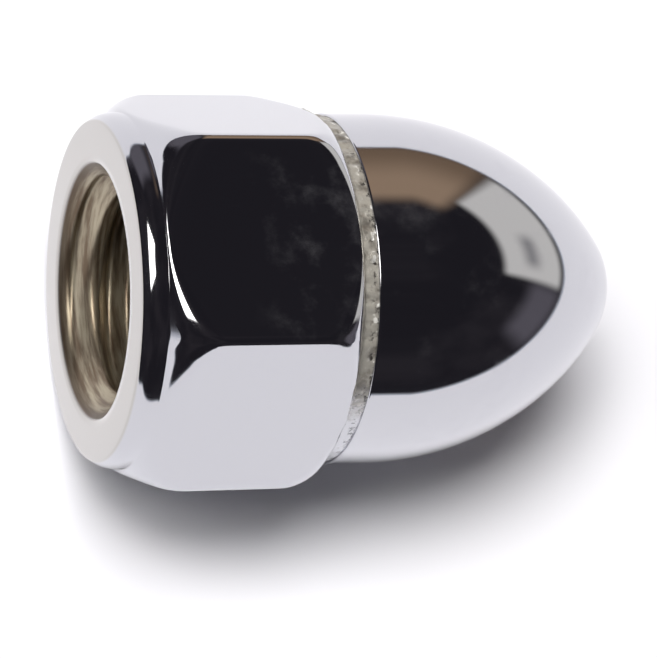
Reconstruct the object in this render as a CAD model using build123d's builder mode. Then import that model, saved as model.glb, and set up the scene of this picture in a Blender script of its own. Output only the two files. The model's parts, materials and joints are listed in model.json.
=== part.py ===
from build123d import *
import math
import os

# Bullet-nose cap nut for a 3/8-16 UNC stud, with a 9/16 inch hexagon.
# The thread axis is X. The origin is the centre of the seating face at the open end, -X points out of
# the open mouth and +X to the tip of the dome. The nut lies on one flat of its hexagon, which faces -Z.

# Driving dimensions, in millimetres and degrees
across_flats = 14.2875        # 9/16 inch wrench size
body_length = 8.90            # seating face to the back face of the hexagon
hex_edge_radius = 0.42        # rounding along the six long edges

tap_drill_radius = 3.97       # bore wall left for the 3/8-16 thread, 5/16 inch drill
mouth_depth = 1.16            # countersink at the seating face
back_mouth_depth = 0.58       # countersink inside, where the tap runs out
countersink_angle = 90.0      # included angle of both countersinks

# Turned ends of the hexagon: how far each radius stays inside the flats
seat_inset = 0.42             # outer edge of the seating ring
collar_inset = 0.114          # round collar behind the seating ring
collar_foot_inset = 0.074     # the collar widens a little towards the hexagon
collar_bevel_length = 0.45    # bevel from the seating ring out to the collar
collar_length = 0.95          # seating face to the foot of the front chamfer
bevel_break_radius = 0.05     # the turned edges of the collar, just broken
front_chamfer_angle = 40.0    # corner chamfers, measured from the face
back_chamfer_angle = 30.0
front_blend_radius = 1.5      # rounding from each chamfer into the corners of the hexagon
back_blend_radius = 1.5

cap_inset = 0.084             # how far the skirt of the cap stays inside the flats
cap_skirt_length = 1.80       # rim to the start of the ogive
ogive_radius = 12.4           # large arc of the bullet
nose_radius = 3.65            # small arc at the tip
cap_wall = 1.0                # thickness of the drawn sheet

weld_gap = 0.55               # width of the weld between the hexagon and the rim of the cap
weld_sink = 0.09              # how far the weld stays below the side of the cap
back_face_inset = 0.08        # how far the back face of the hexagon stays inside the cap

# Places worked out from them
flat_radius = across_flats / 2
corner_radius = across_flats / math.sqrt(3)
seat_radius = flat_radius - seat_inset
collar_radius = flat_radius - collar_inset
collar_foot_radius = flat_radius - collar_foot_inset
cap_radius = flat_radius - cap_inset
back_face_radius = cap_radius - back_face_inset
front_slope = math.tan(math.radians(front_chamfer_angle))
back_slope = math.tan(math.radians(back_chamfer_angle))
front_corner_x = collar_length + (corner_radius - collar_foot_radius) * front_slope
back_corner_x = body_length - (corner_radius - back_face_radius) * back_slope
countersink_slope = math.tan(math.radians(countersink_angle / 2))
mouth_radius = tap_drill_radius + mouth_depth * countersink_slope
back_mouth_radius = tap_drill_radius + back_mouth_depth * countersink_slope
cap_rim_x = body_length + weld_gap
skirt_end_x = cap_rim_x + cap_skirt_length
ogive_centre = (skirt_end_x, cap_radius - ogive_radius)
nose_centre_x = skirt_end_x + math.sqrt(
    (ogive_radius - nose_radius) ** 2 - (ogive_radius - cap_radius) ** 2
)
ogive_end_angle = math.degrees(math.atan2(ogive_radius - cap_radius, nose_centre_x - skirt_end_x))
cap_bore_radius = cap_radius - cap_wall

# The seating plane looks out of the open mouth, and the back plane looks into the cap
seat_plane = Plane(origin=(0, 0, 0), x_dir=(0, 1, 0), z_dir=(-1, 0, 0))
back_plane = Plane(origin=(body_length, 0, 0), x_dir=(0, 1, 0), z_dir=(1, 0, 0))


def bullet_face(inset):
    """Half section of the bullet, from its rim to its tip, drawn `inset` inside the outer skin."""
    with BuildSketch(Plane.XY) as face:
        with BuildLine():
            skirt = Line((cap_rim_x, cap_radius - inset), (skirt_end_x, cap_radius - inset))
            CenterArc(ogive_centre, ogive_radius - inset, 90, ogive_end_angle - 90)
            tip = CenterArc((nose_centre_x, 0), nose_radius - inset, ogive_end_angle, -ogive_end_angle)
            Polyline(tip @ 1, (cap_rim_x, 0), skirt @ 0)
        make_face()
    return face.sketch


outer_section = bullet_face(0)
inner_section = bullet_face(cap_wall)

# Hexagon, turned at both ends, with the bore for the thread
with BuildPart() as hex_body:
    with BuildSketch(Plane.YZ):
        RegularPolygon(radius=flat_radius, side_count=6, major_radius=False)
    extrude(amount=body_length)
    fillet(hex_body.edges().filter_by(Axis.X), radius=hex_edge_radius)
    with BuildSketch(Plane.XY):
        with BuildLine():
            FilletPolyline(
                (0, seat_radius),
                (collar_bevel_length, collar_radius),
                (collar_length, collar_foot_radius),
                (front_corner_x, corner_radius),
                (back_corner_x, corner_radius),
                (body_length, back_face_radius),
                radius=[
                    bevel_break_radius,
                    bevel_break_radius,
                    front_blend_radius,
                    back_blend_radius,
                ],
            )
            Polyline((body_length, back_face_radius), (body_length, 0), (0, 0), (0, seat_radius))
        make_face()
    revolve(axis=Axis.X, mode=Mode.INTERSECT)
    with Locations(seat_plane):
        CounterSinkHole(tap_drill_radius, mouth_radius, counter_sink_angle=countersink_angle)
    with Locations(back_plane):
        CounterSinkHole(tap_drill_radius, back_mouth_radius, counter_sink_angle=countersink_angle)

# Drawn sheet cap: a straight skirt, an ogive and a round nose, hollow for the end of the stud
with BuildPart() as bullet_cap:
    revolve(outer_section, axis=Axis.X)
    revolve(inner_section, axis=Axis.X, mode=Mode.SUBTRACT)

# Weld metal that fills the gap between the back of the hexagon and the rim of the cap
with BuildPart() as weld_bead:
    with BuildSketch(back_plane):
        Circle(cap_radius - weld_sink)
        Circle(cap_bore_radius, mode=Mode.SUBTRACT)
    extrude(amount=weld_gap)

os.makedirs("parts", exist_ok=True)

hex_body.part.label = "hex_body"
export_step(hex_body.part, "parts/hex_body.step")
bullet_cap.part.label = "bullet_cap"
export_step(bullet_cap.part, "parts/bullet_cap.step")
weld_bead.part.label = "weld_bead"
export_step(weld_bead.part, "parts/weld_bead.step")

for piece in (hex_body.part, bullet_cap.part, weld_bead.part):
    size = piece.bounding_box().size
    print(f"{piece.label}: {piece.volume:.1f} mm3, {size.X:.2f} x {size.Y:.2f} x {size.Z:.2f} mm")
print(f"overall length {nose_centre_x + nose_radius:.2f} mm")
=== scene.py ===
import json
import math

import bpy
import numpy as np
from mathutils import Matrix, Vector


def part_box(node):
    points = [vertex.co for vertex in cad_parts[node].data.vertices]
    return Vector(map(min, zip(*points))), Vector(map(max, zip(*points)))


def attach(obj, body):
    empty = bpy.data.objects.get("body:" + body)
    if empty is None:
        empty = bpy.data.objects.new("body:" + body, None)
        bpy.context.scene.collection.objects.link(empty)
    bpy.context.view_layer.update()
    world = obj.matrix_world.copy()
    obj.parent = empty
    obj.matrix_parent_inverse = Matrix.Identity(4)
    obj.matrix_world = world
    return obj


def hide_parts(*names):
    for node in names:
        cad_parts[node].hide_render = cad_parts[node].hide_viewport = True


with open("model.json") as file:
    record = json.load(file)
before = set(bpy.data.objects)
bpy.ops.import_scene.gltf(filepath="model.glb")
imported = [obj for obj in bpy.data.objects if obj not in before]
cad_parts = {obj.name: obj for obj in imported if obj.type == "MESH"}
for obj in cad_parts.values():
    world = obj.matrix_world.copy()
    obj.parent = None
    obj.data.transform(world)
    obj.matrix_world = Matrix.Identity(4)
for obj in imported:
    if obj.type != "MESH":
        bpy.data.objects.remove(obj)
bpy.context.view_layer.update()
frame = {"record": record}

mm = 0.001
hexLow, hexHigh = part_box("hex_body")
capLow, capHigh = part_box("bullet_cap")
weldLow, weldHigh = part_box("weld_bead")
threadMount = next(m for m in frame["record"]["mounts"] if m["name"] == "thread")

camera = {
    "target": (10.0, 0.0, 0.0),      # mm, on the thread axis near the middle of the nut
    "distance": 152.1,               # mm from the target
    "fromMouth": 70.0,               # degrees between the thread axis and the line of sight
    "overTheTop": 16.1,              # degrees that the view leans from the top flat towards -Y
    "roll": -0.55,                   # degrees
    "aimLeft": 0.067,                # mm from the target to the middle of the picture
    "aimBelow": 1.62,
    "lens": 206.5,
    "sensor": 36.0,
}


def cameraAxes():
    # line of sight, picture right and picture up; the thread axis lies level in the picture
    tilt = math.radians(camera["fromMouth"])
    lean = math.radians(camera["overTheTop"])
    sight = Vector((
        -math.cos(tilt),
        -math.sin(tilt) * math.sin(lean),
        math.sin(tilt) * math.cos(lean),
    ))
    level = Vector((1, 0, 0))
    right = (level - sight * level.dot(sight)).normalized()
    up = sight.cross(right)
    turn = math.radians(camera["roll"])
    rolledRight = right * math.cos(turn) + up * math.sin(turn)
    rolledUp = up * math.cos(turn) - right * math.sin(turn)
    return sight, rolledRight, rolledUp


def addCamera():
    sight, right, up = cameraAxes()
    eye = (Vector(camera["target"]) + sight * camera["distance"]) * mm
    middle = (Vector(camera["target"]) - right * camera["aimLeft"] - up * camera["aimBelow"]) * mm
    back = (eye - middle).normalized()
    side = up.cross(back).normalized()
    top = back.cross(side)
    data = bpy.data.cameras.new("nutCamera")
    data.lens = camera["lens"]
    data.sensor_width = camera["sensor"]
    data.clip_start = 0.005
    data.clip_end = 20.0
    seat = bpy.data.objects.new("nutCamera", data)
    seat.matrix_world = Matrix((
        (side.x, top.x, back.x, eye.x),
        (side.y, top.y, back.y, eye.y),
        (side.z, top.z, back.z, eye.z),
        (0, 0, 0, 1),
    ))
    bpy.context.scene.collection.objects.link(seat)
    bpy.context.scene.camera = seat


addCamera()
print("camera placed")


def nodeMaker(tree):
    # a short way to add a node: inputs are linked when they are sockets, and set when they are values
    def make(kind, inputs=None, **settings):
        node = tree.nodes.new(kind)
        for name, value in settings.items():
            setattr(node, name, value)
        for name, value in (inputs or {}).items():
            socket = node.inputs[name]
            if isinstance(value, bpy.types.NodeSocket):
                tree.links.new(value, socket)
            else:
                socket.default_value = value
        return node
    return make


def mathOf(make, operation, a, b=0.0):
    return make("ShaderNodeMath", {0: a, 1: b}, operation=operation).outputs[0]


def scaledPlus(make, value, factor, base):
    # value * factor + base
    return mathOf(make, "ADD", mathOf(make, "MULTIPLY", value, factor), base)


def rampOf(make, value, low, high):
    # eases from 0 at low to 1 at high
    node = make("ShaderNodeMapRange", {"Value": value, "From Min": low, "From Max": high},
                interpolation_type="SMOOTHSTEP")
    return node.outputs[0]


def mixColour(make, share, a, b):
    node = make("ShaderNodeMix", {"Factor": share}, data_type="RGBA")
    for name, value in ((6, a), (7, b)):
        if isinstance(value, bpy.types.NodeSocket):
            node.id_data.links.new(value, node.inputs[name])
        else:
            node.inputs[name].default_value = (*value, 1.0)
    return node.outputs[2]


def noiseOf(make, place, scale, detail=3.0, roughness=0.5, stretch=(1, 1, 1)):
    # noise on points that are first scaled along each axis
    mapped = make("ShaderNodeMapping", {"Vector": place, "Scale": stretch}).outputs[0]
    node = make("ShaderNodeTexNoise", {
        "Vector": mapped, "Scale": scale, "Detail": detail, "Roughness": roughness,
    })
    return node.outputs["Fac"]


def blendOf(make, share, a, b):
    # number between a and b
    return make("ShaderNodeMix", {0: share, 2: a, 3: b}, data_type="FLOAT").outputs[0]


room = {
    "dark": (0.018, 0.0165, 0.021),
    "darkCloud": (0.030, 0.027, 0.032),
    "pale": (0.78, 0.76, 0.72),
    "paleBlotch": (0.34, 0.33, 0.33),
    "warm": (0.40, 0.28, 0.19),
    "warmLow": (0.22, 0.15, 0.10),
    "wedge": (0.13, 0.12, 0.14),
    "haze": (0.14, 0.13, 0.15),
    "below": (0.97, 1.00, 1.09),
    "backdrop": (0.97, 0.97, 0.98),
    "softbox": (8.0, 7.8, 7.5),
    "cloudScale": 2.2,
    "cloudRamp": (0.42, 0.72),
    "warmRamp": (4.0, 30.0),         # degrees of lift over which the warm patch brightens
    "horizonRamp": (2.0, -1.0),      # degrees of lift over which the dark turns to the pale floor
}
# each patch of the room: turn from +X towards +Y, and lift above the floor, in degrees
patches = {
    "warm": {"turn": (47, 76), "lift": (0, 42), "soft": 5.0},
    "haze": {"turn": (82, 118), "lift": (0, 30), "soft": 6.0},
    "wedge": {"turn": (-30, -3), "lift": (2, 19), "soft": 5.0},
    "pale": {"turn": (-2, 45), "lift": (3, 33), "soft": 2.5},
    "paleBlotch": {"turn": (5, 20), "lift": (15, 22), "soft": 4.0},
    "softbox": {"turn": (142, 200), "lift": (46, 68), "soft": 3.0},
    "softboxEnd": {"turn": (-200, -164), "lift": (46, 68), "soft": 3.0},
}


def addRoom():
    # the surroundings that the plating mirrors: pale floor below, dark above, with a few patches
    world = bpy.data.worlds.new("room")
    bpy.context.scene.world = world
    world.use_nodes = True
    tree = world.node_tree
    tree.nodes.clear()
    make = nodeMaker(tree)
    place = make("ShaderNodeTexCoord").outputs["Generated"]
    axis = make("ShaderNodeSeparateXYZ", {0: place})
    degrees = 180 / math.pi
    lift = mathOf(make, "MULTIPLY", mathOf(make, "ARCSINE", axis.outputs[2]), degrees)
    turn = mathOf(make, "MULTIPLY", mathOf(make, "ARCTAN2", axis.outputs[1], axis.outputs[0]), degrees)

    def inside(value, span, soft):
        rise = rampOf(make, value, span[0] - soft, span[0] + soft)
        fall = rampOf(make, value, span[1] + soft, span[1] - soft)
        return mathOf(make, "MULTIPLY", rise, fall)

    def patch(name):
        spot = patches[name]
        return mathOf(make, "MULTIPLY", inside(turn, spot["turn"], spot["soft"]),
                      inside(lift, spot["lift"], spot["soft"]))

    cloud = rampOf(make, noiseOf(make, place, room["cloudScale"]), *room["cloudRamp"])
    warm = mixColour(make, rampOf(make, lift, *room["warmRamp"]), room["warmLow"], room["warm"])
    pale = mixColour(make, patch("paleBlotch"), room["pale"], room["paleBlotch"])
    colour = mixColour(make, cloud, room["dark"], room["darkCloud"])
    colour = mixColour(make, patch("warm"), colour, warm)
    colour = mixColour(make, patch("haze"), colour, room["haze"])
    colour = mixColour(make, patch("wedge"), colour, room["wedge"])
    colour = mixColour(make, patch("pale"), colour, pale)
    box = mathOf(make, "MAXIMUM", patch("softbox"), patch("softboxEnd"))  # it lies across the turn of 180
    colour = mixColour(make, box, colour, room["softbox"])
    colour = mixColour(make, rampOf(make, lift, *room["horizonRamp"]), colour, room["below"])
    direct = make("ShaderNodeLightPath").outputs["Is Camera Ray"]
    seen = mixColour(make, direct, colour, room["backdrop"])
    glow = make("ShaderNodeBackground", {"Color": seen, "Strength": 1.0})
    out = make("ShaderNodeOutputWorld")
    tree.links.new(glow.outputs[0], out.inputs["Surface"])


light = {
    "turn": 134.0,                   # degrees from +X towards +Y
    "lift": 71.0,                    # degrees above the floor
    "energy": 2.75,
    "spread": 30.0,                  # degrees across, which sets how soft the shadow is
    "colour": (1.0, 0.985, 0.97),
    "floorHalf": 3.0,                # m
    "paper": (0.85, 0.855, 0.90),
    "paperRough": 0.9,
    "paperGloss": 0.1,
}


def addFloor():
    floorZ = min(hexLow.z, capLow.z)
    half = light["floorHalf"]
    corners = [(x * half, y * half, floorZ) for x, y in ((-1, -1), (1, -1), (1, 1), (-1, 1))]
    mesh = bpy.data.meshes.new("floor")
    mesh.from_pydata(corners, [], [(0, 1, 2, 3)])
    floor = bpy.data.objects.new("floor", mesh)
    bpy.context.scene.collection.objects.link(floor)
    paper = bpy.data.materials.new("palePaper")
    paper.use_nodes = True
    skin = paper.node_tree.nodes["Principled BSDF"]
    skin.inputs["Base Color"].default_value = (*light["paper"], 1)
    skin.inputs["Roughness"].default_value = light["paperRough"]
    skin.inputs["Specular IOR Level"].default_value = light["paperGloss"]
    mesh.materials.append(paper)


def addLight():
    data = bpy.data.lights.new("softLight", "SUN")
    data.energy = light["energy"]
    data.angle = math.radians(light["spread"])
    data.color = light["colour"]
    turn = math.radians(light["turn"])
    lift = math.radians(light["lift"])
    toLamp = Vector((
        math.cos(turn) * math.cos(lift),
        math.sin(turn) * math.cos(lift),
        math.sin(lift),
    ))
    lamp = bpy.data.objects.new("softLight", data)
    lamp.rotation_euler = toLamp.to_track_quat("Z", "Y").to_euler()
    lamp.visible_glossy = False
    bpy.context.scene.collection.objects.link(lamp)


addRoom()
addFloor()
addLight()
bpy.context.scene.view_settings.view_transform = "Standard"
print("room, floor and light placed")


def ringQuads(along, around, closed):
    # quads between neighbouring rings of a grid that closes round the thread axis
    index = np.arange(along * around).reshape(along, around)
    rows = slice(None) if closed else slice(0, along - 1)
    following = np.roll(index, -1, axis=0)
    quads = np.stack([
        index[rows],
        np.roll(index, -1, axis=1)[rows],
        np.roll(following, -1, axis=1)[rows],
        following[rows],
    ], axis=-1)
    return quads.reshape(-1, 4)


def addMesh(name, points, faces):
    mesh = bpy.data.meshes.new(name)
    mesh.from_pydata(points.tolist(), [], faces)
    mesh.validate()
    mesh.polygons.foreach_set("use_smooth", np.ones(len(mesh.polygons), bool))
    mesh.update()
    piece = bpy.data.objects.new(name, mesh)
    bpy.context.scene.collection.objects.link(piece)
    return piece


def turned(x, radius, angle):
    # point = (x, radius cos angle, radius sin angle), in mm turned to metres
    x, radius, angle = np.broadcast_arrays(x, radius, angle)
    return np.stack([x, radius * np.cos(angle), radius * np.sin(angle)], axis=-1) * mm


hexagon = {
    "edgeRadius": 0.42,        # mm, rounding of the six long edges
    "seatRadius": 6.724,
    "collarRadius": 7.030,
    "footRadius": 7.070,
    "bevelLength": 0.45,
    "collarLength": 0.95,
    "backRadius": 6.980,
    "frontAngle": 40.0,        # degrees, chamfers measured from the face
    "backAngle": 30.0,
    "blend": 1.5,              # mm, from each chamfer into the corners
    "flatSoft": 0.06,          # mm, rounding where a chamfer meets the middle of a flat
    "cornerSoft": 0.80,        # mm, the same near a corner
    "frontEase": 0.5,          # power of the growth from flatSoft to cornerSoft, front and back
    "backEase": 1.0,
    "frontShare": 0.70,        # share of each chamfer that this rounding may take
    "backShare": 0.45,
    "cornerRise": 0.6,         # mm past the flat at which the rounding reaches cornerSoft
    "coneReach": 0.8,          # its reach down the chamfer, as a share of that along the flat
    "coneStart": 0.12,         # where the rows of each chamfer begin, as a share of its height
    "seatSoft": 0.07,          # mm, rounding at the outer edge of the seat
    "seatEnd": 0.15,           # shares of the bevel where that rounding ends and the next begins
    "bevelEnd": 0.50,
    "collarStart": 0.70,       # share of the collar where the rounding from the bevel ends
    "footSoft": 0.12,
    "boreSoft": 0.10,          # mm, rounding between the thread and its two countersinks
    "pitch": 1.5875,
    "majorRadius": 4.7625,
    "mouthRadius": 5.13,
    "backMouthRadius": 4.55,
    "flatSteps": 56,
    "edgeSteps": 20,
    "boreSteps": 100,
}
flatRadius = (hexHigh.z - hexLow.z) / 2 / mm
bodyLength = (hexHigh.x - hexLow.x) / mm
boreRadius = threadMount["dims"]["r_mm"]
sixth = math.pi / 3


def edgeReach():
    # half the angle that the level part of one flat takes
    edge = hexagon["edgeRadius"]
    return math.atan((flatRadius - edge) * math.tan(sixth / 2) / flatRadius)


def hexagonAngles():
    # angles round the nut, close together where the long edges are rounded
    reach = edgeReach()
    flat = np.linspace(-reach, reach, hexagon["flatSteps"], endpoint=False)
    edge = np.linspace(reach, sixth - reach, hexagon["edgeSteps"], endpoint=False)
    sector = np.concatenate([flat, edge])
    return (sector + sixth / 2 + np.arange(6)[:, None] * sixth).ravel()


def hexagonRadius(angle):
    # flatRadius / cos(angle from the flat) on a flat, and the circle of the rounded edge at a corner
    edge = hexagon["edgeRadius"]
    fromFlat = np.abs(angle % sixth - sixth / 2)
    fromCorner = sixth / 2 - fromFlat
    centre = (flatRadius - edge) / math.cos(sixth / 2)
    half = np.sqrt(np.maximum(edge ** 2 - (centre * np.sin(fromCorner)) ** 2, 0))
    arc = centre * np.cos(fromCorner) + half
    return np.where(fromFlat <= edgeReach(), flatRadius / np.cos(fromFlat), arc)


def chamferRun(radius, foot, degrees):
    # run along the axis at that radius: (radius - foot) tan(angle) on the cone, then an arc of
    # the blend radius that ends level with the corners
    lean = math.radians(degrees)
    blend = hexagon["blend"]
    corner = flatRadius / math.cos(sixth / 2)
    tangent = blend * math.tan((math.pi / 2 - lean) / 2)
    endRun = (corner - foot) * math.tan(lean) + tangent
    arcStart = corner - tangent * math.cos(lean)
    rise = np.clip(radius - (corner - blend), 0, blend)
    arcRun = endRun - np.sqrt(np.maximum(blend ** 2 - rise ** 2, 0))
    return np.where(radius > arcStart, arcRun, (radius - foot) * math.tan(lean))


def softCorner(before, corner, after, steps):
    # quadratic curve (1-t)^2 before + 2t(1-t) corner + t^2 after
    t = np.linspace(0, 1, steps)[:, None, None]
    return (1 - t) ** 2 * before + 2 * t * (1 - t) * corner + t ** 2 * after


def lineTo(a, b, steps):
    # the points strictly between a and b
    t = np.linspace(0, 1, steps + 2)[1:-1, None, None]
    return a + (b - a) * t


def chamferRows(hexR, foot, start, sign, end):
    # from the foot of a chamfer, up its cone, and round onto the flats by a curve that is wider near
    # the corners; returns the rows and the last of them
    h = hexagon
    degrees = h[end + "Angle"]
    wide = np.clip((hexR - flatRadius) / h["cornerRise"], 0, 1) ** h[end + "Ease"]
    soft = h["flatSoft"] + (h["cornerSoft"] - h["flatSoft"]) * wide
    near = hexR - np.minimum(soft * h["coneReach"], (hexR - foot) * h[end + "Share"])

    def at(radius):
        return np.stack([start + sign * chamferRun(radius, foot, degrees), radius], axis=-1)[None]

    t = np.linspace(h["coneStart"], 1, 11)[:-1, None]
    radii = foot + (near - foot) * t
    cone = np.stack([start + sign * chamferRun(radii, foot, degrees), radii], axis=-1)
    crest = at(hexR)
    level = crest + sign * np.stack([soft, 0 * hexR], axis=-1)[None]
    return [cone, softCorner(at(near), crest, level, 10)], level


def softMax(a, b, soft):
    # the larger of the two, with their crossing rounded over a width of soft
    share = np.clip(0.5 + 0.5 * (a - b) / soft, 0, 1)
    return b + (a - b) * share + soft * share * (1 - share)


def boreSurface(x, angle):
    # right-hand thread: the groove's middle moves one pitch along +X for each turn from +Y to +Z,
    # and the radius falls from the root to the bore down flanks that stand 60 degrees apart
    h = hexagon
    phase = (x / h["pitch"] - angle / (2 * math.pi)) % 1.0
    fromGroove = np.abs(phase - 0.5) * h["pitch"]
    depth = h["majorRadius"] - boreRadius
    flank = (fromGroove - h["pitch"] / 16) / math.tan(math.pi / 6)
    thread = boreRadius + np.clip(depth - flank, 0, depth)
    mouthCone = h["mouthRadius"] - x
    backCone = h["backMouthRadius"] - (bodyLength - x)
    return softMax(softMax(thread, mouthCone, h["boreSoft"]), backCone, h["boreSoft"])


def addHexBody():
    # profile (x, radius) carried round the axis: seat, collar, chamfers and flats outside, thread inside
    h = hexagon
    angle = hexagonAngles()
    hexR = hexagonRadius(angle)

    def ring(x, radius):
        return np.stack([np.full_like(angle, x), np.full_like(angle, radius)], axis=-1)[None]

    mouth = ring(0.0, h["mouthRadius"])
    seat = ring(0.0, h["seatRadius"])
    bevel = ring(h["bevelLength"], h["collarRadius"])
    foot = ring(h["collarLength"], h["footRadius"])
    rear = ring(bodyLength, h["backRadius"])
    seatEnd = seat + (bevel - seat) * h["seatEnd"]
    bevelEnd = seat + (bevel - seat) * h["bevelEnd"]
    collarStart = bevel + (foot - bevel) * h["collarStart"]
    footSoft = foot + (bevel - foot) * h["footSoft"]
    front, frontLevel = chamferRows(hexR, h["footRadius"], h["collarLength"], 1, "front")
    back, backLevel = chamferRows(hexR, h["backRadius"], bodyLength, -1, "back")
    x = np.linspace(bodyLength, 0, h["boreSteps"])[:, None]
    bore = boreSurface(x, angle[None])
    rows = [
        lineTo(mouth, seat, 5),
        softCorner(ring(0.0, h["seatRadius"] - h["seatSoft"]), seat, seatEnd, 6),
        lineTo(seatEnd, bevelEnd, 3),
        softCorner(bevelEnd, bevel, collarStart, 14),
        lineTo(collarStart, footSoft, 3),
        softCorner(footSoft, foot, front[0][:1], 6)[:-1],
        *front,
        lineTo(frontLevel, backLevel, 10),
        *[block[::-1] for block in back[::-1]],
        lineTo(rear, ring(bodyLength, h["backMouthRadius"]), 5),
        np.stack([np.broadcast_to(x, bore.shape), bore], axis=-1),
    ]
    profile = np.concatenate(rows)
    points = turned(profile[..., 0], profile[..., 1], angle[None])
    quads = ringQuads(*points.shape[:2], closed=True)
    return addMesh("hexBody", points.reshape(-1, 3), quads.tolist())


cap = {
    "skirtLength": 1.80,       # mm
    "ogiveRadius": 12.4,
    "noseRadius": 3.65,
    "wall": 1.0,
    "rimSoft": 0.06,
    "around": 400,
    "outerSteps": 120,
    "innerSteps": 60,
}
capRadius = (capHigh.z - capLow.z) / 2 / mm
capRim = capLow.x / mm


def bulletProfile(inset, steps):
    # (x, radius) from the rim to the tip: straight skirt, ogive arc, nose arc, all `inset` inside the skin
    ogive = cap["ogiveRadius"]
    nose = cap["noseRadius"]
    skirtEnd = capRim + cap["skirtLength"]
    noseCentre = skirtEnd + math.sqrt((ogive - nose) ** 2 - (ogive - capRadius) ** 2)
    endAngle = math.atan2(ogive - capRadius, noseCentre - skirtEnd)
    skirtX = np.linspace(capRim, skirtEnd, steps // 6, endpoint=False)
    skirt = np.stack([skirtX, np.full_like(skirtX, capRadius - inset)], axis=-1)
    t = np.linspace(math.pi / 2, endAngle, steps // 2, endpoint=False)
    arc = np.stack([
        skirtEnd + (ogive - inset) * np.cos(t),
        capRadius - ogive + (ogive - inset) * np.sin(t),
    ], axis=-1)
    t = np.linspace(endAngle, 0, steps // 3 + 1)[:-1]
    tip = np.stack([noseCentre + (nose - inset) * np.cos(t), (nose - inset) * np.sin(t)], axis=-1)
    return np.concatenate([skirt, arc, tip]), noseCentre + nose - inset


def addBulletCap():
    # the inner profile from tip to rim, then the outer one from rim to tip, turned round the axis
    outer, outerTip = bulletProfile(0.0, cap["outerSteps"])
    inner, innerTip = bulletProfile(cap["wall"], cap["innerSteps"])
    soft = cap["rimSoft"]
    edge = np.array([
        (capRim, capRadius - soft),
        (capRim + soft * 0.3, capRadius - soft * 0.3),
        (capRim + soft, capRadius),
    ])
    profile = np.concatenate([inner[::-1], edge, outer[1:]])
    around = cap["around"]
    angle = np.linspace(0, 2 * math.pi, around, endpoint=False)
    points = turned(profile[:, :1], profile[:, 1:], angle[None]).reshape(-1, 3)
    quads = ringQuads(len(profile), around, closed=False)
    first = np.arange(around)
    last = first + (len(profile) - 1) * around
    count = len(points)
    points = np.concatenate([points, [(innerTip * mm, 0, 0), (outerTip * mm, 0, 0)]])
    innerFan = np.stack([np.roll(first, -1), first, np.full(around, count)], axis=-1)
    outerFan = np.stack([last, np.roll(last, -1), np.full(around, count + 1)], axis=-1)
    piece = addMesh("bulletCap", points, quads.tolist() + innerFan.tolist() + outerFan.tolist())
    # the second material is for the faces inside: the first rows of quads and the inner fan
    finishIndex = np.zeros(len(piece.data.polygons), dtype=np.int32)
    finishIndex[:(len(inner) - 1) * around] = 1
    finishIndex[len(quads):len(quads) + around] = 1
    piece.data.polygons.foreach_set("material_index", finishIndex)
    return piece


weld = {
    "around": 720,
    "across": 22,
    "seed": 7,
    "edgeWander": 0.08,        # mm, how far the weld runs onto the cap
    "edgeWaves": (9, 70, 12, 0.8),     # fewest and most per turn, how many, and their size
    "lumpWaves": (12, 90, 14),
    "lap": 0.15,               # mm, how far it runs onto the back chamfer of the hexagon
    "film": 0.012,             # mm, its thickness there
    "lump": 0.035,             # mm
    "proud": 0.07,             # mm, the most that a lump stands out
    "crown": 0.02,             # mm, even bulge across the bead
    "smoothLumps": 0.25,       # share of the lumps left on the low -Y side
    "smoothTo": -5.5,          # mm along Y, from where the lumps grow
    "smoothOver": 2.0,
    "inset": 0.01,             # mm, clearance inside the joint
    "belowFlat": 0.002,
}


def addWeldBead():
    # radius = side of the ring + lumps(angle, t), where each lump is a sum of sines round the axis times
    # sin(pi t k) across; its edge on the cap wanders with the angle
    angle = np.linspace(0, 2 * math.pi, weld["around"], endpoint=False)
    rng = np.random.default_rng(weld["seed"])
    low = weldLow.x / mm
    high = weldHigh.x / mm
    outer = weldHigh.z / mm
    inner = capRadius - cap["wall"]

    def waves(slowest, fastest, count, size):
        turns = rng.integers(slowest, fastest, count)
        phase = rng.uniform(0, 2 * math.pi, count)
        return np.sin(turns[:, None] * angle + phase[:, None]).sum(0) * size / math.sqrt(count)

    t = np.linspace(0, 1, weld["across"])[:, None]
    wander = weld["edgeWander"] * np.clip(waves(*weld["edgeWaves"]) + 0.3, 0, 1.5)
    start = low - weld["lap"]
    x = start + (high + wander[None] - start) * t
    grown = np.clip((outer * np.cos(angle) - weld["smoothTo"]) / weld["smoothOver"], 0, 1)
    rough = weld["smoothLumps"] + (1 - weld["smoothLumps"]) * grown
    lump = sum(
        np.sin(math.pi * t * k) * (rough * waves(*weld["lumpWaves"], weld["lump"] / k))[None]
        for k in (1, 2, 3)
    )
    bead = outer + lump + weld["crown"] * np.sin(math.pi * t)
    radius = np.minimum(bead, outer + weld["proud"])
    cone = hexagon["backRadius"] + (bodyLength - x) / math.tan(math.radians(hexagon["backAngle"]))
    flush = hexagonRadius(angle)[None] - weld["belowFlat"]      # never stands out past a flat
    radius = np.where(x < bodyLength, np.minimum(cone + weld["film"], flush), radius)
    side = np.stack([x, radius], axis=-1)
    bottom = np.array([(high - weld["inset"], inner), (low + weld["inset"], inner)])
    floor = np.broadcast_to(bottom[:, None, :], (2, weld["around"], 2))
    profile = np.concatenate([side, floor])
    points = turned(profile[..., 0], profile[..., 1], angle[None])
    quads = ringQuads(*points.shape[:2], closed=True)
    return addMesh("weldBead", points.reshape(-1, 3), quads.tolist())


hexPiece = addHexBody()
capPiece = addBulletCap()
weldPiece = addWeldBead()
print("meshes made, faces", [len(piece.data.polygons) for piece in (hexPiece, capPiece, weldPiece)])


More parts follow.
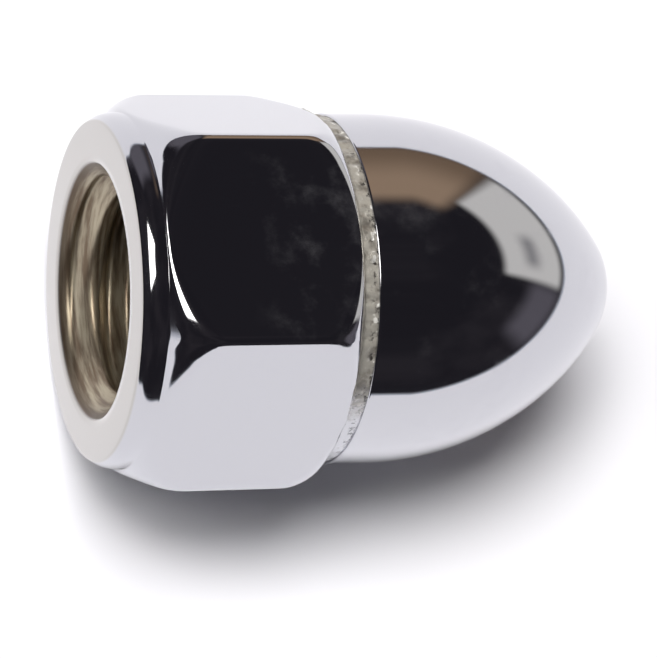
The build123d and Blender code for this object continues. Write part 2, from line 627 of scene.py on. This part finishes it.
platingLook = {
    "cloud": (0.42, 5.0, 0.62),       # noise scale, detail, roughness, and stretch along X, Y and Z
    "cloudRamp": (0.50, 0.78),
    "scratch": (6.0, 2.0, 0.5, (0.12, 1.0, 1.0)),
    "scratchRamp": (0.62, 0.80),
    "pit": (9.0, 2.0),
    "pitRamp": (0.70, 0.80),
    "wave": (0.30, 1.0),
    "smudgeRough": 0.16,
    "scratchRough": 0.05,
    "fineHeight": -0.0016,
    "waveHeight": 0.05,
    "smudgeMetal": -0.05,
}


def platingGroup():
    # shared plating: cloudy smudges, fine scratches and a slow waviness, on points in mm
    look = platingLook
    tree = bpy.data.node_groups.new("plating", "ShaderNodeTree")
    sockets = (
        ("Place", "INPUT", "NodeSocketVector"), ("Base", "INPUT", "NodeSocketColor"),
        ("Smudged", "INPUT", "NodeSocketColor"), ("Smudges", "INPUT", "NodeSocketFloat"),
        ("Polish", "INPUT", "NodeSocketFloat"), ("Color", "OUTPUT", "NodeSocketColor"),
        ("Roughness", "OUTPUT", "NodeSocketFloat"), ("Height", "OUTPUT", "NodeSocketFloat"),
        ("Metallic", "OUTPUT", "NodeSocketFloat"),
    )
    for name, way, kind in sockets:
        tree.interface.new_socket(name, in_out=way, socket_type=kind)
    make = nodeMaker(tree)
    given = make("NodeGroupInput").outputs
    out = make("NodeGroupOutput")
    place = given["Place"]
    cloud = rampOf(make, noiseOf(make, place, *look["cloud"]), *look["cloudRamp"])
    smudge = mathOf(make, "MULTIPLY", cloud, given["Smudges"])
    scratch = rampOf(make, noiseOf(make, place, *look["scratch"]), *look["scratchRamp"])
    pit = rampOf(make, noiseOf(make, place, *look["pit"]), *look["pitRamp"])
    wave = noiseOf(make, place, *look["wave"])
    scratched = mathOf(make, "MULTIPLY", scratch, look["scratchRough"])
    dull = scaledPlus(make, smudge, look["smudgeRough"], scratched)
    fine = mathOf(make, "MULTIPLY", mathOf(make, "ADD", scratch, pit), look["fineHeight"])
    tree.links.new(mixColour(make, smudge, given["Base"], given["Smudged"]), out.inputs["Color"])
    tree.links.new(mathOf(make, "ADD", dull, given["Polish"]), out.inputs["Roughness"])
    tree.links.new(scaledPlus(make, smudge, look["smudgeMetal"], 1.0), out.inputs["Metallic"])
    tree.links.new(scaledPlus(make, wave, look["waveHeight"], fine), out.inputs["Height"])
    return tree


finish = {
    "chrome": (0.570, 0.573, 0.605),
    "chromeSmudged": (0.56, 0.56, 0.60),
    "bumpDistance": 0.0004,    # m
}
plating = platingGroup()


def startMaterial(name):
    material = bpy.data.materials.new(name)
    material.use_nodes = True
    tree = material.node_tree
    make = nodeMaker(tree)
    place = make("ShaderNodeTexCoord").outputs["Object"]
    inMm = make("ShaderNodeVectorMath", {0: place, "Scale": 1 / mm}, operation="SCALE").outputs[0]
    skin = tree.nodes["Principled BSDF"]
    skin.inputs["Metallic"].default_value = 1.0
    return material, tree, make, inMm, skin


def platedOn(make, inMm, smudges, polish):
    return make("ShaderNodeGroup", {
        "Place": inMm, "Base": (*finish["chrome"], 1), "Smudged": (*finish["chromeSmudged"], 1),
        "Smudges": smudges, "Polish": polish,
    }, node_tree=plating).outputs


def dress(tree, make, skin, colour, roughness, height, strength):
    bump = make("ShaderNodeBump", {
        "Height": height, "Strength": strength, "Distance": finish["bumpDistance"],
    })
    tree.links.new(colour, skin.inputs["Base Color"])
    tree.links.new(roughness, skin.inputs["Roughness"])
    tree.links.new(bump.outputs[0], skin.inputs["Normal"])


hexagonFinish = {
    "polish": 0.07,
    "bump": 0.35,
    "wornAlong": (3.8, 6.2),           # mm along X and along Z, from clean to smudged
    "wornUp": (6.6, 7.0),
    "seatTint": (0.51, 0.495, 0.475),
    "seatDepth": (0.10, 0.02),         # mm from the seating face
    "bore": (0.47, 0.415, 0.31),
    "boreDark": (0.17, 0.125, 0.085),
    "boreRim": (0.09, 0.065, 0.045),
    "boreMetal": 0.85,
    "boreRough": (0.20, 0.29),         # share of the streaks, and the least roughness
    "boreEdge": (0.02, -0.12),         # mm past the mouth's radius, from plating to bore
    "rimDepth": (0.55, 0.10),          # mm into the mouth, where the bore darkens
    "rimShare": 0.85,
    "streak": (1.0, 4.0, 0.6, (5.0, 0.35, 0.35)),
    "streakRamp": (0.35, 0.68),
}


def hexagonMaterial():
    # chrome outside; a duller, yellowish bore with streaks round the axis; a warm seating ring
    look = hexagonFinish
    material, tree, make, inMm, skin = startMaterial("hexagonChrome")
    axis = make("ShaderNodeSeparateXYZ", {0: inMm}).outputs
    rearHalf = rampOf(make, axis[0], *look["wornAlong"])
    onTop = rampOf(make, axis[2], *look["wornUp"])
    worn = mathOf(make, "MULTIPLY", rearHalf, onTop)
    outside = platedOn(make, inMm, worn, look["polish"])
    acrossSquare = mathOf(make, "POWER", axis[1], 2.0)
    upSquare = mathOf(make, "POWER", axis[2], 2.0)
    radius = mathOf(make, "SQRT", mathOf(make, "ADD", acrossSquare, upSquare))
    inBore = rampOf(make, radius, *(hexagon["mouthRadius"] + past for past in look["boreEdge"]))
    onFace = rampOf(make, axis[0], *look["seatDepth"])
    streak = noiseOf(make, inMm, *look["streak"])
    streaked = rampOf(make, streak, *look["streakRamp"])
    boreColour = mixColour(make, streaked, look["boreDark"], look["bore"])
    rim = mathOf(make, "MULTIPLY", rampOf(make, axis[0], *look["rimDepth"]), look["rimShare"])
    boreColour = mixColour(make, rim, boreColour, look["boreRim"])
    colour = mixColour(make, onFace, outside["Color"], look["seatTint"])
    colour = mixColour(make, inBore, colour, boreColour)
    boreRough = scaledPlus(make, streak, *look["boreRough"])
    rough = blendOf(make, inBore, outside["Roughness"], boreRough)
    metal = blendOf(make, inBore, outside["Metallic"], look["boreMetal"])
    tree.links.new(metal, skin.inputs["Metallic"])
    dress(tree, make, skin, colour, rough, outside["Height"], look["bump"])
    return material


capFinish = {
    "polish": 0.05,
    "smudges": 0.6,
    "bump": 0.25,
    "insidePale": (0.34, 0.33, 0.31),
    "insideDark": (0.17, 0.16, 0.15),
    "insideLines": (1.0, 4.0, 0.6, (6.0, 0.3, 0.3)),
    "insideRamp": (0.34, 0.66),
    "insideRough": (0.25, 0.36),       # share of the lines, and the least roughness
    "insideBump": 0.15,
}


def capMaterial():
    look = capFinish
    material, tree, make, inMm, skin = startMaterial("capChrome")
    outside = platedOn(make, inMm, look["smudges"], look["polish"])
    tree.links.new(outside["Metallic"], skin.inputs["Metallic"])
    dress(tree, make, skin, outside["Color"], outside["Roughness"], outside["Height"], look["bump"])
    return material


def insideMaterial():
    # drawn steel that the plating never reached: dull, with faint lines round the axis
    look = capFinish
    material, tree, make, inMm, skin = startMaterial("insideSteel")
    lines = noiseOf(make, inMm, *look["insideLines"])
    lined = rampOf(make, lines, *look["insideRamp"])
    colour = mixColour(make, lined, look["insideDark"], look["insidePale"])
    rough = scaledPlus(make, lines, *look["insideRough"])
    dress(tree, make, skin, colour, rough, lines, look["insideBump"])
    return material


weldFinish = {
    "pale": (0.44, 0.42, 0.375),
    "dark": (0.17, 0.155, 0.135),
    "pit": (0.045, 0.040, 0.036),
    "speck": (0.85, 0.84, 0.80),
    "metal": 0.35,
    "rough": (0.30, 0.22),             # share of the grain, and the least roughness
    "bump": 0.4,
    "grain": (1.7, 5.0, 0.6),
    "grainRamp": (0.28, 0.58),
    "nearCap": (0.15, 0.45),           # mm past the back of the hexagon
    "pits": (2.6, 3.0, 0.6),
    "pitRamp": (0.54, 0.64),
    "specks": (3.4, 1.0),
    "speckRamp": (0.60, 0.68),
    "plated": (-4.4, -5.6),            # mm along Y, from raw metal to plated
    "platedWander": 1.6,
    "platedRough": 0.16,
    "relief": (0.4, 0.5),              # grain up, pits down
}


def weldMaterial():
    # rough pale metal with dark pits near the cap, plated over smoothly on the low -Y side
    look = weldFinish
    material, tree, make, inMm, skin = startMaterial("weldMetal")
    axis = make("ShaderNodeSeparateXYZ", {0: inMm}).outputs
    grain = noiseOf(make, inMm, *look["grain"])
    nearCap = rampOf(make, axis[0], *(bodyLength + past for past in look["nearCap"]))
    pitted = rampOf(make, noiseOf(make, inMm, *look["pits"]), *look["pitRamp"])
    pits = mathOf(make, "MULTIPLY", pitted, nearCap)
    specked = rampOf(make, noiseOf(make, inMm, *look["specks"]), *look["speckRamp"])
    specks = mathOf(make, "MULTIPLY", specked, nearCap)
    side = scaledPlus(make, grain, look["platedWander"], axis[1])
    plated = rampOf(make, side, *look["plated"])
    grained = rampOf(make, grain, *look["grainRamp"])
    colour = mixColour(make, grained, look["dark"], look["pale"])
    colour = mixColour(make, pits, colour, look["pit"])
    colour = mixColour(make, specks, colour, look["speck"])
    colour = mixColour(make, plated, colour, finish["chrome"])
    metal = blendOf(make, plated, look["metal"], 1.0)
    rawRough = scaledPlus(make, grain, *look["rough"])
    rough = blendOf(make, plated, rawRough, look["platedRough"])
    grainUp, pitsDown = look["relief"]
    raised = mathOf(make, "MULTIPLY", grain, grainUp)
    relief = mathOf(make, "SUBTRACT", raised, mathOf(make, "MULTIPLY", pits, pitsDown))
    tree.links.new(metal, skin.inputs["Metallic"])
    dress(tree, make, skin, colour, rough, relief, look["bump"])
    return material


hexPiece.data.materials.append(hexagonMaterial())
capPiece.data.materials.append(capMaterial())
capPiece.data.materials.append(insideMaterial())
weldPiece.data.materials.append(weldMaterial())
print("materials placed")

for piece, node, slotName in (
    (hexPiece, "hex_body", "hexagon_chrome"),
    (capPiece, "bullet_cap", "cap_chrome"),
    (weldPiece, "weld_bead", "weld_metal"),
):
    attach(piece, "root")
    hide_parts(node)
